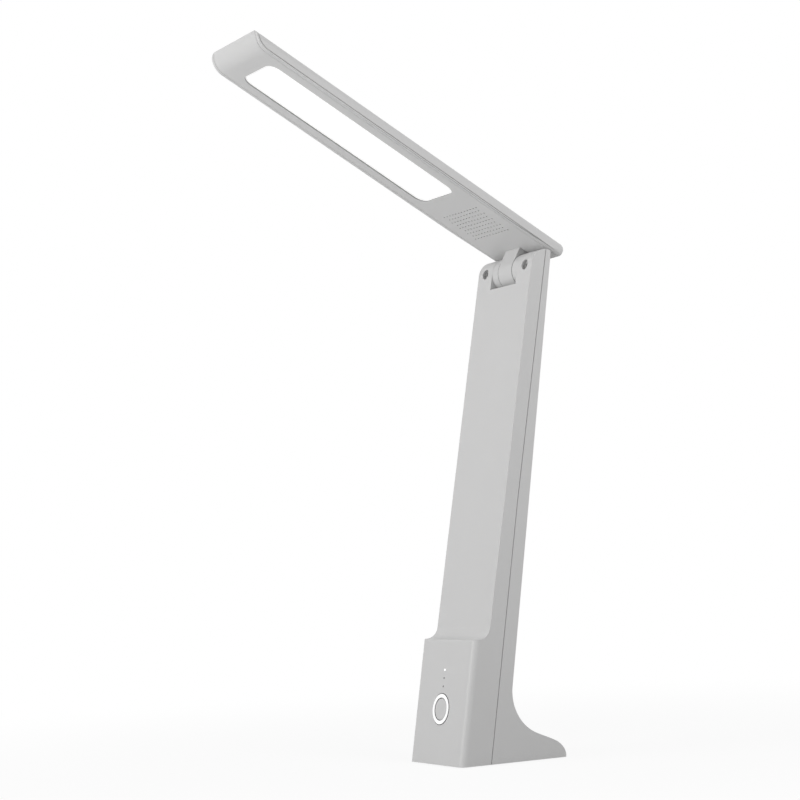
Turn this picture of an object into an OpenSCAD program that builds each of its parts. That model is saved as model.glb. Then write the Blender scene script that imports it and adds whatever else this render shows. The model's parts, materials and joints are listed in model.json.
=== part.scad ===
// Folding desk lamp: a leaning column with a button block in front and a flared foot behind,
// and a flat light head on a knuckle hinge at the column's top.
// Lengths are in millimetres and angles in degrees. The column stands behind x, its front looks to -y.

/* [Column] */
// Width of the column, the button block and the foot
column_w = 60; // [58:0.5:64]
// Height of the hinge axis above the housing's underside
hinge_h = 294; // [285:1:305]
// Lean of the column's front from upright
front_lean = 11; // [10.7:0.1:11.2]
// Lean of the column's back edges from upright
back_lean = 9.4; // [9.2:0.1:9.7]
// Depth of the column at its back edges, measured along the floor
column_depth = 21.7; // [21.2:0.1:22.2]
// Wall of the two housings
wall = 2.2; // [1.8:0.1:2.4]
// Radius of the crowned back's upper corners, seen from behind
shoulder_r = 9; // [5:0.5:12]

/* [Button block] */
// Height of the ledge on top of the block
ledge_h = 72.5; // [70:0.5:76]
// Depth of the ledge from the block's front to the column's front
ledge_depth = 9.75; // [9.5:0.05:10.5]
// Lean of the block's front from upright
block_lean = 10.1; // [9.9:0.1:10.3]
// Radius of the block's upright front corners
block_corner_r = 3.8; // [2:0.1:4.5]
// Radius of the ledge's front edge
ledge_edge_r = 2; // [1:0.1:2.5]
// Radius of the hollow where the ledge meets the column
ledge_fillet_r = 8; // [6:0.1:8.5]

/* [Foot] */
// Length of the foot from front to back
foot_len = 75; // [73:0.5:80]
// Height of the foot's tip, before it is rounded
foot_tip_h = 7; // [6.5:0.1:8]
// Slope of the foot's top behind the column
foot_slope = 21.8; // [20:0.1:23]
// Radius of the flare between the column's back and the foot
flare_r = 26; // [22:0.5:28]
// Radius over the foot's tip
foot_tip_r = 8; // [6:0.1:9]
// Radius of the foot's rear corners, seen from above
foot_corner_r = 4; // [2:0.1:5]
// How far the rubber pad stands out below the housing
pad_proud = 0.6; // [0.4:0.1:1]

/* [Seam] */
// Depth of the seam behind the block's front, along the floor
seam_block = 20.1; // [19.5:0.1:20.6]
// Depth of the seam behind the column's front, along the floor
seam_stem = 9.05; // [8.8:0.05:9.3]
// Width of the shadow gap along the seam
seam_gap = 0.4; // [0.2:0.05:0.6]
// Depth of the shadow gap into the wall
seam_gap_depth = 0.9; // [0.5:0.1:1.2]

/* [Hinge] */
// Outer radius of the ears about the hinge axis
ear_r = 10.7; // [10.4:0.1:11]
// Outer radius of the hinge's stubs and its moving knuckle
knuckle_r = 10.6; // [9.5:0.1:10.6]
// Width of the moving knuckle
knuckle_w = 15.5; // [14:0.1:17]
// Width of the fork between the two ears
fork_w = 28.6; // [27:0.1:30]
// Side gap between the moving knuckle and each stub
knuckle_gap = 0.2; // [0.15:0.05:0.3]
// Depth of the fork's floor below the hinge axis
fork_floor = 11; // [11:0.1:12]
// Radius of the hinge pin
pin_r = 2; // [1.5:0.1:2.5]
// Running gap round the hinge pin and the button's plunger
run_gap = 0.05; // [0.03:0.01:0.1]
// Distance of each ear screw from the middle
ear_screw_x = 22.1; // [21.8:0.1:23]
// Radius of the sunk hole over each ear screw
ear_sink_r = 3.2; // [3:0.1:3.4]
// Depth of the sunk hole over each ear screw
ear_sink_depth = 1.6; // [1:0.1:3]

/* [Head] */
// Length of the head
head_len = 236.6; // [230:0.1:240]
// How far the head stands out past each side of the column
head_past = 0.6; // [0:0.1:1.5]
// Thickness of the head
head_t = 7.8; // [7.6:0.1:8.4]
// Angle of the head above level, as it stands open
head_raise = 29.7; // [0:0.1:60]
// Distance along the head from the hinge axis to its rear
head_back = 7.7; // [7.6:0.1:12]
// Gap between the ears and the head's underside
head_gap = 0.3; // [0.3:0.05:0.5]
// Radius of the nose under the head's tip
nose_r = 12.8; // [11:0.1:14]
// Radius of the head's long upper edges, its rear edge and its rear corners
head_edge_r = 4; // [2:0.1:5]
// Width of the window in the underside
window_w = 39.6; // [36:0.1:42]
// Distance along the head from its tip to the window's front end
window_start = 20.3; // [19.5:0.1:22]
// Distance along the head from the window's rear end to the hinge axis
window_back = 70.2; // [68:0.1:80]
// Radius of the window's corners
window_r = 7; // [4:0.1:9]
// Depth of the lit panel behind the underside
window_recess = 0.8; // [0.4:0.1:1.2]
// Side wall of the head
side_wall = 2.45; // [2:0.05:2.6]
// Roof of the head
roof = 1.8; // [1.5:0.05:1.9]
// Plate of the lower cover
plate_t = 1.6; // [1.4:0.05:1.8]
// Thickness of the lower cover's edge, as it shows beside the seam
lip_t = 0.9; // [0.7:0.05:1.1]
// Distance of the fine border line from the head's edges
border_in = 2.6; // [2.3:0.1:3]

/* [Vent] */
// Distance along the head from the first row of holes to the hinge axis
vent_ahead = 53.4; // [51:0.1:55]
// Number of rows
vent_rows = 9; // [5:1:9]
// Holes in the first row, and one fewer in every second row
vent_columns = 12; // [8:1:12]
// Distance between rows
vent_row_pitch = 3.17; // [3:0.01:3.2]
// Distance between the holes of a row
vent_column_pitch = 3.36; // [3:0.01:3.6]
// Diameter of a hole
vent_d = 1; // [0.8:0.1:1.4]

/* [Button and indicators] */
// Height of the button's middle up the block's front
button_up = 32.5; // [30:0.5:34]
// Radius of the light ring
ring_r = 9.4; // [9:0.1:10]
// Radius of the hole in the light ring
ring_bore_r = 6.7; // [6.3:0.1:7]
// Gap between the button and the light ring
button_gap = 0.3; // [0.25:0.05:0.4]
// Travel of the button
button_travel = 0.5; // [0.3:0.1:0.5]
// Height of the lowest indicator up the block's front
dots_up = 45.9; // [45.5:0.1:47]
// Distance between two indicators
dot_pitch = 4.9; // [4:0.1:5.5]
// Radius of an indicator
dot_r = 0.6; // [0.5:0.05:0.9]

/* [Cell and weight] */
// Radius of the battery cell
cell_r = 9.2; // [9:0.1:9.3]
// Length of the battery cell
cell_len = 65; // [50:0.5:70]
// Thickness of the steel weight in the foot
ballast_t = 6; // [3:0.5:6]
// Thickness of the base plate
base_t = 2.8; // [2.4:0.1:3]

/* [Hidden] */
$fn = 64;

shell_grey = [0.80, 0.80, 0.80];
lit_white = [1, 1, 1];
board_green = [0.16, 0.36, 0.22];
steel_grey = [0.62, 0.62, 0.64];
wire_red = [0.70, 0.15, 0.12];
rubber_grey = [0.45, 0.45, 0.46];

// Small clearances and overlaps that several pieces share
seat_gap = 0.15;
screw_gap = 0.05;
cut_past = 1;
far = 600;
arc_step = 6;
edge_r = 1.2;
crown_lap = 0.15;
crown_in = 0.5;

// Places that follow from the driving sizes
half_w = column_w / 2;
stem_front = ledge_depth + ledge_h * (tan(block_lean) - tan(front_lean));
hinge_y = stem_front + hinge_h * tan(front_lean) + ear_r / cos(front_lean);
axis = [hinge_y, hinge_h];
back_foot = stem_front + column_depth;
front_up = [sin(front_lean), cos(front_lean)];
front_out = [-cos(front_lean), sin(front_lean)];
back_up = [sin(back_lean), cos(back_lean)];
axis_to_back = (back_foot + hinge_h * tan(back_lean) - hinge_y) * cos(back_lean);
crown_top_r = ear_r - 0.15;
crown_rise = crown_top_r - axis_to_back;
crown_sag = crown_rise + crown_lap;
crown_r = (half_w * half_w + crown_sag * crown_sag) / (2 * crown_sag);
cavity_drop = fork_floor + wall;
crown_start = 8;
head_w = column_w + 2 * head_past;
head_reach = head_len - head_back;
window_len = head_reach - window_back - window_start;
vent_start = head_reach - vent_ahead;

// Geometry helpers
function unit(v) = v / norm(v);
function left_of(v) = [-v[1], v[0]];
function line_meet(p, u, q, v) = p + u * cross(q - p, v) / cross(u, v);

// Arc points round a centre, from one angle to another
function arc(centre, r, from, to) =
    let (steps = max(1, ceil(abs(to - from) / arc_step)))
    [for (i = [0 : steps])
        let (a = from + (to - from) * i / steps)
        centre + r * [cos(a), sin(a)]];

// Corner b between a and c, rounded with radius r
function corner_arc(a, b, c, r) =
    r < 0.01 ? [b] :
    let (
        u = unit(a - b),
        v = unit(c - b),
        half = acos(u * v) / 2,
        centre = b + unit(u + v) * r / sin(half),
        first = b + u * r / tan(half) - centre,
        last = b + v * r / tan(half) - centre,
        start = atan2(first[1], first[0]),
        turn = (cross(first, last) > 0 ? 1 : -1) * (180 - 2 * half)
    )
    arc(centre, r, start, start + turn);

function rounded(points, radii) =
    let (n = len(points))
    [for (i = [0 : n - 1])
        each corner_arc(points[(i + n - 1) % n], points[i], points[(i + 1) % n], radii[i])];

// A counter-clockwise outline with each edge moved inwards by its own distance
function inset_outline(points, w) =
    let (n = len(points))
    [for (i = [0 : n - 1])
        let (
            at = points[i],
            u = unit(at - points[(i + n - 1) % n]),
            v = unit(points[(i + 1) % n] - at)
        )
        line_meet(at + left_of(u) * w[(i + n - 1) % n], u, at + left_of(v) * w[i], v)];

function rectangle(x, y) = [[x[0], y[0]], [x[1], y[0]], [x[1], y[1]], [x[0], y[1]]];

// Outlines in y and z are drawn across the width, outlines in x and z through the depth
module across(width) rotate([90, 0, 90]) linear_extrude(width, center = true) children();
module through(depth) rotate([90, 0, 0]) linear_extrude(depth, center = true) children();
module rod_x(r, from, to) translate([from, 0, 0]) rotate([0, 90, 0]) cylinder(r = r, h = to - from);
module rod_y(r, from, to) translate([0, from, 0]) rotate([-90, 0, 0]) cylinder(r = r, h = to - from);
module rod_z(r, from, to) translate([0, 0, from]) cylinder(r = r, h = to - from);
module box(x, y, z) translate([x[0], y[0], z[0]]) cube([x[1] - x[0], y[1] - y[0], z[1] - z[0]]);
module both_sides() for (side = [0, 1]) mirror([side, 0, 0]) children();

// Frames of the lamp's leaning parts. In each, +y runs into the lamp and +z up its face.
module place() translate([0, -foot_len / 2, pad_proud]) children();
module in_block() rotate([-block_lean, 0, 0]) children();
module in_stem(z) translate([0, stem_front + z * tan(front_lean), z]) rotate([-front_lean, 0, 0]) children();
module in_hinge() translate([0, hinge_y, hinge_h]) rotate([-front_lean, 0, 0]) children();
module in_back() translate([0, back_foot, 0]) rotate([-back_lean, 0, 0]) children();
module in_head() translate([0, hinge_y, hinge_h]) rotate([-head_raise, 0, 0]) children();
// The head's slab: y runs from the tip to the rear, and z is 0 on its top and negative below
neck_h = ear_r + head_gap;
module in_slab() in_head() translate([0, -head_reach, neck_h + head_t]) children();

// Outline of the column, block and foot, seen from the side
ear_top = axis + ear_r * front_up;
ear_back_top = line_meet(ear_top, front_out, [back_foot, 0], back_up);
ear_back_r = 0.9 * norm(ear_back_top - ear_top);
side_points = [
    [0, 0],
    [foot_len, 0],
    [foot_len, foot_tip_h],
    line_meet([foot_len, foot_tip_h], [-cos(foot_slope), sin(foot_slope)], [back_foot, 0], back_up),
    ear_back_top,
    ear_top + ear_r * front_out,
    [stem_front + ledge_h * tan(front_lean), ledge_h],
    [ledge_h * tan(block_lean), ledge_h]
];
side_radii = [0, edge_r, foot_tip_r, flare_r, ear_back_r, ear_r, ledge_fillet_r, ledge_edge_r];
cavity_insets = [-cut_past, wall, wall, wall, ear_r + cavity_drop, wall, wall, wall];
cavity_radii = [0, 0, foot_tip_r - wall, flare_r + wall, 0, 0, ledge_fillet_r + wall, 0];

// The crown rises out of the flat back just inside its edges, from inside the foot to the hinge
crown_points = concat(
    [[back_foot - wall, crown_start]],
    [[back_foot + crown_start * tan(back_lean) + crown_rise / cos(back_lean), crown_start]],
    arc(axis, crown_top_r, -back_lean, 90 - front_lean),
    [axis - front_up * ear_r]
);

module crown_cylinder(r) {
    in_back()
        translate([0, crown_rise - crown_r, -far / 4])
            cylinder(r = r, h = far, $fn = 180);
}

module crown_back() {
    intersection() {
        across(column_w - crown_lap) polygon(crown_points);
        crown_cylinder(crown_r);
        in_hinge()
            through(far)
                polygon(rounded(
                    rectangle([-half_w, half_w], [-far, ear_r]),
                    [0, 0, shoulder_r, shoulder_r]
                ));
    }
}

// Upright corner from x and y out to the faces, to be cut away round a corner of radius r
module corner_waste(r, height) {
    difference() {
        translate([-r, -r, 0]) cube([r + cut_past, r + cut_past, height]);
        translate([-r, -r, -cut_past]) cylinder(r = r, h = height + 2 * cut_past);
    }
}

module body_blank() {
    difference() {
        union() {
            across(column_w) polygon(rounded(side_points, side_radii));
            crown_back();
        }
        both_sides() {
            in_block()
                translate([half_w, 0, -cut_past * 10])
                    mirror([0, 1, 0])
                        corner_waste(block_corner_r, ledge_h + cut_past * 20);
            translate([half_w, foot_len, -cut_past])
                corner_waste(foot_corner_r, foot_tip_h * 3);
        }
    }
}

// The fork is open in front, behind and above, except for a fixed stub on each side of the knuckle
stub_in = knuckle_w / 2 + knuckle_gap;

module fork() {
    in_hinge()
        difference() {
            box([-fork_w / 2, fork_w / 2], [-far / 10, far / 10], [-fork_floor, far / 10]);
            both_sides() rod_x(knuckle_r, stub_in, fork_w / 2 + cut_past);
        }
}

module cavity() {
    across(column_w - 2 * wall)
        polygon(rounded(inset_outline(side_points, cavity_insets), cavity_radii));
    intersection() {
        across(column_w - 2 * (wall + crown_in)) polygon(crown_points);
        crown_cylinder(crown_r - wall);
        in_hinge() box([-half_w, half_w], [-far / 2, far / 2], [-far, -cavity_drop - crown_in]);
    }
}

// Battery cell and its cradle
cell_start = 86;
cell_off_wall = 1.6;
cell_depth = wall + cell_r + cell_off_wall;
rib_t = 2;
rib_in = 6;
rib_past_cell = 1.3;
rib_half_w = cell_r + rib_past_cell;

module cell_cradle() {
    in_stem(cell_start) {
        for (z = [rib_in, cell_len - rib_in - rib_t])
            difference() {
                box([-rib_half_w, rib_half_w], [0, far / 10], [z, z + rib_t]);
                translate([0, cell_depth, 0]) rod_z(cell_r + seat_gap, 0, far);
            }
        for (z = [-rib_t, cell_len + seat_gap])
            box([-rib_half_w, rib_half_w], [0, far / 10], [z, z + rib_t]);
    }
}

// Control board behind the block's front, with the depths of what sits on it
board_behind_wall = 6.8;
board_front = wall + board_behind_wall;
board_t = 1.2;
board_half_w = 21;
board_low = 12;
board_high = 62;
board_screw_x = 18.6;
board_screw_in = 4;
board_boss_r = 2.6;
board_screw_r = 1.1;
board_screw_len = 5.5;
screw_head_r = 2;
screw_head_t = 1.4;
switch_w = 6.2;
switch_t = 3.5;
plunger_r = 1.75;
plunger_proud = 0.9;
plunger_end_gap = 0.5;
switch_back_t = 0.4;
switch_top = board_front - switch_t;
plunger_start = switch_top - plunger_proud;
lamp_w = 1.6;
lamp_t = 0.8;

module at_board_screws() {
    for (x = [-board_screw_x, board_screw_x], z = [board_low + board_screw_in, board_high - board_screw_in])
        translate([x, 0, z]) children();
}

// Base plate, its pad and its screws
base_screw_from_side = 9;
base_screw_x = half_w - base_screw_from_side;
base_screw_front = 12;
base_screw_back = 63;
base_boss_r = 3.2;
base_shank_r = 1.4;
base_head_r = 2.5;
base_head_t = 1.2;
base_shank_top = 8.6;
base_boss_cap = 1;
base_boss_top = base_shank_top + base_boss_cap;
pad_in = 0.8;
pad_from_side = 6;
pad_half_w = half_w - pad_from_side;
pad_front = 8;
pad_from_back = 7;
pad_back = foot_len - pad_from_back;
pad_corner_r = 5;
base_front_gap = 0.9;
base_back_gap = 0.5;
base_front = wall + base_front_gap;
base_back = foot_len - wall - base_back_gap;

module at_base_screws() {
    for (x = [-base_screw_x, base_screw_x], y = [base_screw_front, base_screw_back])
        translate([x, y, 0]) children();
}

// Charging inlet in the middle of the back
charge_h = 40;
socket_w = 8.94;
socket_h = 3.26;
socket_len = 7.4;
socket_shell = 0.3;
socket_in = 0.5;
socket_back_t = 1;
tongue_half_w = 3.3;
tongue_half_t = 0.35;
tongue_in = 1;
tongue_back = 0.5;
charge_board_w = 16;
charge_board_len = 14;
charge_board_t = 1;
shelf_t = 2;
shelf_x = 6;
board_to_wall = 0.8;

module at_inlet() {
    in_back() translate([0, crown_rise, charge_h / cos(back_lean)]) children();
}

// Outline with round ends, as wide as w and as high as h, drawn through the depth
module stadium(w, h, from, to) {
    translate([0, (from + to) / 2, 0])
        through(to - from) {
            square([w - h, h], center = true);
            for (x = [-(w - h) / 2, (w - h) / 2])
                translate([x, 0]) circle(d = h, $fn = 32);
        }
}

module inner_features() {
    cell_cradle();
    in_block()
        at_board_screws()
            rod_y(board_boss_r, 0, board_front);
    at_base_screws() rod_z(base_boss_r, base_t, base_boss_top);
    both_sides()
        for (y = [base_screw_front, base_screw_back])
            box([base_screw_x, half_w], [y - rib_t / 2, y + rib_t / 2], [base_t, base_boss_top]);
    at_inlet()
        both_sides()
            box(
                [shelf_x - shelf_t / 2, shelf_x + shelf_t / 2],
                [-wall - charge_board_len, 0],
                [-socket_h / 2 - charge_board_t - 2 * shelf_t, -socket_h / 2 - charge_board_t]
            );
}

// Hinge hardware, measured across the lamp from its middle
pin_head_r = 3.4;
pin_head_t = 3;
pin_past_fork = 0.7;
pin_half = fork_w / 2 + pin_past_fork;
nut_r = 4;
nut_gap = 0.3;
pocket_r = nut_r + nut_gap;
pocket_end = pin_half + pin_head_t + nut_gap;
ear_head_r = 2.8;
ear_head_t = 1.2;
ear_shank_r = 1.45;
ear_shank_len = 9;
slot_turn = 25;
slot_half_len = 1.7;
slot_half_w = 0.3;
slot_floor = 0.5;
ear_seat = -ear_r + ear_sink_depth + ear_head_t;

module pin_bores() {
    in_hinge() {
        rod_x(pin_r + run_gap, -pocket_end, pocket_end);
        rod_x(pocket_r, pin_half, pocket_end);
        rod_x(pin_head_r + seat_gap, -pocket_end, -pin_half);
        both_sides()
            translate([ear_screw_x, 0, 0]) {
                rod_y(ear_sink_r, -ear_r - cut_past, ear_seat);
                rod_y(ear_shank_r + screw_gap, ear_seat - cut_past, ear_seat + ear_shank_len + screw_gap);
            }
    }
}

module face_openings() {
    in_block() {
        translate([0, 0, button_up]) rod_y(ring_r + screw_gap, -cut_past, wall + cut_past);
        for (i = [0 : 2])
            translate([0, 0, dots_up + i * dot_pitch]) rod_y(dot_r + screw_gap, -cut_past, wall + cut_past);
        at_board_screws() rod_y(board_screw_r + screw_gap, board_front - board_screw_len, board_front + cut_past);
    }
    at_base_screws() rod_z(base_shank_r + screw_gap, base_t - cut_past, base_shank_top + screw_gap);
    at_inlet() stadium(socket_w + 2 * seat_gap, socket_h + 2 * seat_gap, -wall - cut_past, cut_past * 2);
}

module housing() {
    difference() {
        body_blank();
        fork();
        difference() {
            cavity();
            inner_features();
        }
        pin_bores();
        face_openings();
    }
}

// The seam runs parallel to the block's front, then parallel to the column's front
seam_low = -10;
seam_high = hinge_h + 40;
knee_z = (seam_block - stem_front - seam_stem) / (tan(front_lean) - tan(block_lean));
seam_line = [
    [seam_block + seam_low * tan(block_lean), seam_low],
    [seam_block + knee_z * tan(block_lean), knee_z],
    [stem_front + seam_stem + seam_high * tan(front_lean), seam_high]
];
front_region = concat([[-far, seam_low]], seam_line, [[-far, seam_high]]);
gap_region = concat(
    [for (p = seam_line) p + [seam_gap, 0]],
    [for (i = [2 : -1 : 0]) seam_line[i] - [cut_past / 100, 0]]
);

module front_housing() {
    color(shell_grey)
        place()
            intersection() {
                housing();
                across(column_w + 2) polygon(front_region);
            }
}

module rear_housing() {
    color(shell_grey)
        place()
            difference() {
                housing();
                across(column_w + 2) polygon(front_region);
                both_sides()
                    translate([half_w, 0, 0])
                        across(2 * seam_gap_depth) polygon(gap_region);
            }
}

module base_plate() {
    color(shell_grey)
        place()
            difference() {
                linear_extrude(base_t)
                    polygon(rounded(
                        rectangle([-half_w + wall + seat_gap, half_w - wall - seat_gap], [base_front, base_back]),
                        [0, 0, foot_corner_r - wall, foot_corner_r - wall]
                    ));
                translate([0, 0, -cut_past])
                    linear_extrude(cut_past + pad_in)
                        polygon(rounded(
                            rectangle(
                                [-pad_half_w - seat_gap, pad_half_w + seat_gap],
                                [pad_front - seat_gap, pad_back + seat_gap]
                            ),
                            [for (i = [0 : 3]) pad_corner_r + seat_gap]
                        ));
                at_base_screws() {
                    rod_z(base_shank_r + screw_gap, -cut_past, base_t + cut_past);
                    rod_z(base_head_r + seat_gap, -cut_past, pad_in + base_head_t);
                }
            }
}

module base_pad() {
    color(rubber_grey)
        place()
            translate([0, 0, -pad_proud])
                linear_extrude(pad_proud + pad_in)
                    polygon(rounded(
                        rectangle([-pad_half_w, pad_half_w], [pad_front, pad_back]),
                        [for (i = [0 : 3]) pad_corner_r]
                    ));
}

module base_screws() {
    color(steel_grey)
        place()
            at_base_screws() {
                rod_z(base_head_r, pad_in, pad_in + base_head_t);
                rod_z(base_shank_r, pad_in, base_shank_top);
            }
}

ballast_from_side = 6;
ballast_to_boss = 1.8;
ballast_half_w = half_w - ballast_from_side;
ballast_front = 26;
ballast_back = base_screw_back - base_boss_r - ballast_to_boss;

module ballast_plate() {
    color(steel_grey)
        place()
            box([-ballast_half_w, ballast_half_w], [ballast_front, ballast_back], [base_t, base_t + ballast_t]);
}

cell_cap_r = 2.8;
cell_cap_t = 1;

module battery_cell() {
    color("seagreen")
        place()
            in_stem(cell_start)
                translate([0, cell_depth, 0]) {
                    rod_z(cell_r, 0, cell_len - cell_cap_t);
                    rod_z(cell_cap_r, 0, cell_len);
                }
}

// Two wires run up the column from a plug on the back of the control board
lead_r = 0.7;
lead_pitch = 2.8;
lead_from_rib = 1.6;
lead_x = rib_half_w + lead_from_rib;
lead_off_wall = 0.1;
lead_depth = wall + lead_r + lead_off_wall;
lead_start = 59;
lead_run = (hinge_h + ear_r * sin(front_lean) - lead_start) / cos(front_lean) - cavity_drop;
plug_t = 3.2;
plug_h = 5;
plug_past_lead = 1.4;
plug_top = lead_start + 2;

module control_board() {
    color(board_green)
        place()
            in_block()
                difference() {
                    union() {
                        box(
                            [-board_half_w, board_half_w],
                            [board_front, board_front + board_t],
                            [board_low, board_high]
                        );
                        box(
                            [lead_x - plug_past_lead, lead_x + lead_pitch + plug_past_lead],
                            [board_front + board_t, board_front + board_t + plug_t],
                            [plug_top - plug_h, plug_top]
                        );
                    }
                    at_board_screws()
                        rod_y(
                            board_screw_r + screw_gap,
                            board_front - cut_past,
                            board_front + board_t + cut_past
                        );
                }
}

module board_screws() {
    color(steel_grey)
        place()
            in_block()
                at_board_screws() {
                    rod_y(screw_head_r, board_front + board_t, board_front + board_t + screw_head_t);
                    rod_y(
                        board_screw_r,
                        board_front - board_screw_len + screw_gap,
                        board_front + board_t + screw_head_t
                    );
                }
}

module switch_body() {
    color("dimgray")
        place()
            in_block()
                translate([0, 0, button_up])
                    difference() {
                        box(
                            [-switch_w / 2, switch_w / 2],
                            [switch_top, board_front],
                            [-switch_w / 2, switch_w / 2]
                        );
                        rod_y(plunger_r + run_gap, switch_top - cut_past, board_front - switch_back_t);
                    }
}

module switch_plunger() {
    color("ivory")
        place()
            in_block()
                translate([0, 0, button_up])
                    rod_y(plunger_r, plunger_start, board_front - plunger_end_gap - button_travel);
}

// Depths of the ring's flange and of the button behind the block's front
ring_proud = 0.3;
ring_flange_w = 1.3;
ring_flange_r = ring_r + ring_flange_w;
ring_flange_t = 0.8;
cap_proud = 0.1;
cap_flange_start = wall + ring_flange_t + button_gap;
cap_flange_w = 0.9;
cap_flange_r = ring_bore_r + cap_flange_w;
cap_flange_t = 0.8;
cap_edge_r = 0.3;
cap_post_r = plunger_r + 0.25;

module light_ring() {
    color(lit_white)
        place()
            in_block()
                translate([0, 0, button_up])
                    difference() {
                        union() {
                            rod_y(ring_r, -ring_proud, wall + ring_flange_t);
                            rod_y(ring_flange_r, wall, wall + ring_flange_t);
                        }
                        rod_y(ring_bore_r, -ring_proud - cut_past, wall + ring_flange_t + cut_past);
                    }
}

module button_cap() {
    color(shell_grey)
        place()
            in_block()
                translate([0, 0, button_up])
                    rotate([-90, 0, 0])
                        rotate_extrude()
                            polygon(concat(
                                [[0, -cap_proud]],
                                corner_arc(
                                    [0, -cap_proud],
                                    [ring_bore_r - button_gap, -cap_proud],
                                    [ring_bore_r - button_gap, cap_flange_start],
                                    cap_edge_r
                                ),
                                [
                                    [ring_bore_r - button_gap, cap_flange_start],
                                    [cap_flange_r, cap_flange_start],
                                    [cap_flange_r, cap_flange_start + cap_flange_t],
                                    [cap_post_r, cap_flange_start + cap_flange_t],
                                    [cap_post_r, plunger_start],
                                    [0, plunger_start]
                                ]
                            ));
}

pipe_bar_t = 1.2;
pipe_bar_half_w = 3;
pipe_foot_r = 1;
pipe_bar_past = 1.9;
pipe_lamp_gap = 0.3;
ring_lamp_in = 1.4;

module indicator_pipes() {
    color(lit_white)
        place()
            in_block() {
                box(
                    [-pipe_bar_half_w, pipe_bar_half_w],
                    [wall, wall + pipe_bar_t],
                    [dots_up - pipe_bar_past, dots_up + 2 * dot_pitch + pipe_bar_past]
                );
                for (i = [0 : 2])
                    translate([0, 0, dots_up + i * dot_pitch]) {
                        rod_y(dot_r, 0, wall + pipe_bar_t);
                        rod_y(pipe_foot_r, wall, board_front - lamp_t - pipe_lamp_gap);
                    }
            }
}

module board_lamp() {
    box([-lamp_w / 2, lamp_w / 2], [board_front - lamp_t, board_front], [-lamp_w / 2, lamp_w / 2]);
}

module board_lamps() {
    ring_lamp_r = ring_r - ring_lamp_in;
    color("lightyellow")
        place()
            in_block() {
                for (a = [45 : 90 : 315])
                    translate([ring_lamp_r * cos(a), 0, button_up + ring_lamp_r * sin(a)]) board_lamp();
                for (i = [0 : 2])
                    translate([0, 0, dots_up + i * dot_pitch]) board_lamp();
            }
}

module charge_socket() {
    color(steel_grey)
        place()
            at_inlet() {
                difference() {
                    stadium(socket_w, socket_h, -socket_in - socket_len, -socket_in);
                    stadium(
                        socket_w - 2 * socket_shell,
                        socket_h - 2 * socket_shell,
                        -socket_in - socket_len + socket_back_t,
                        cut_past
                    );
                }
                box(
                    [-tongue_half_w, tongue_half_w],
                    [-socket_in - socket_len + tongue_back, -socket_in - tongue_in],
                    [-tongue_half_t, tongue_half_t]
                );
            }
}

module charge_board() {
    color(board_green)
        place()
            at_inlet()
                box(
                    [-charge_board_w / 2, charge_board_w / 2],
                    [-wall - charge_board_len, -wall - board_to_wall],
                    [-socket_h / 2 - charge_board_t, -socket_h / 2]
                );
}

module hinge_pin() {
    color(steel_grey)
        place()
            in_hinge() {
                rod_x(pin_r, -pin_half - pin_head_t, pin_half + pin_head_t);
                rod_x(pin_head_r, -pin_half - pin_head_t, -pin_half);
            }
}

module hinge_nut() {
    color(steel_grey)
        place()
            in_hinge()
                difference() {
                    translate([pin_half, 0, 0])
                        rotate([0, 90, 0])
                            cylinder(r = nut_r, h = pin_head_t, $fn = 6);
                    rod_x(pin_r + screw_gap, 0, pocket_end);
                }
}

module hinge_screws() {
    color(steel_grey)
        place()
            in_hinge()
                both_sides()
                    translate([ear_screw_x, 0, 0])
                        difference() {
                            union() {
                                rod_y(ear_head_r, ear_seat - ear_head_t, ear_seat);
                                rod_y(ear_shank_r, ear_seat - ear_head_t, ear_seat + ear_shank_len);
                            }
                            for (a = [0, 90])
                                rotate([0, a + slot_turn, 0])
                                    box(
                                        [-slot_half_len, slot_half_len],
                                        [ear_seat - ear_head_t - cut_past, ear_seat - slot_floor],
                                        [-slot_half_w, slot_half_w]
                                    );
                        }
}

module stem_leads() {
    color(wire_red)
        place()
            in_stem(lead_start)
                for (x = [lead_x, lead_x + lead_pitch])
                    translate([x, lead_depth, 0]) rod_z(lead_r, 0, lead_run);
}

// Side outline of the head with its nose, underside and rear moved inwards
function head_side(under, rear, rear_r) =
    let (
        centre = [sqrt(nose_r * nose_r - pow(nose_r - head_t, 2)) + nose_tip, nose_r - head_t],
        r = nose_r - under,
        meet = 180 + asin((nose_r - head_t) / r),
        end = head_len - rear
    )
    concat(
        arc(centre, r, meet, 270),
        [[end, under - head_t]],
        corner_arc([end, under - head_t], [end, 0], [0, 0], rear_r)
    );

nose_tip = 0.62;
reveal = 0.4;
reveal_depth = 0.8;
pocket_half_w = head_w / 2 - side_wall;

module head_blank() {
    intersection() {
        across(head_w) polygon(head_side(0, 0, head_edge_r));
        translate([0, head_len / 2, 0])
            through(head_len + 2)
                polygon(rounded(
                    rectangle([-head_w / 2, head_w / 2], [-head_t, 0]),
                    [0, 0, head_edge_r, head_edge_r]
                ));
        translate([0, 0, -head_t])
            linear_extrude(head_t)
                polygon(rounded(
                    rectangle([-head_w / 2, head_w / 2], [0, head_len]),
                    [0, 0, head_edge_r, head_edge_r]
                ));
    }
}

// Inside the head: light board under the roof, then the knuckle's flange further down
lamp_board_t = 1;
lamp_board_front = 1;
lamp_board_back = 2;
sheet_back = 1;
sheet_t = 0.4;
chip_t = 0.7;
flange_top = 3.2;
flange_t = 1.8;
flange_half_w = 13;
flange_front = 19;
neck_back = 4.6;
flange_screw_x = 10.5;
flange_screws_at = [-16.4, 0];
flange_boss_r = 2.4;
flange_screw_r = 0.9;
flange_head_r = 1.7;
flange_head_t = 0.9;
flange_screw_tip = 0.9;

module at_flange_screws() {
    for (x = [-flange_screw_x, flange_screw_x], y = flange_screws_at)
        translate([x, head_reach + y, 0]) children();
}

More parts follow.
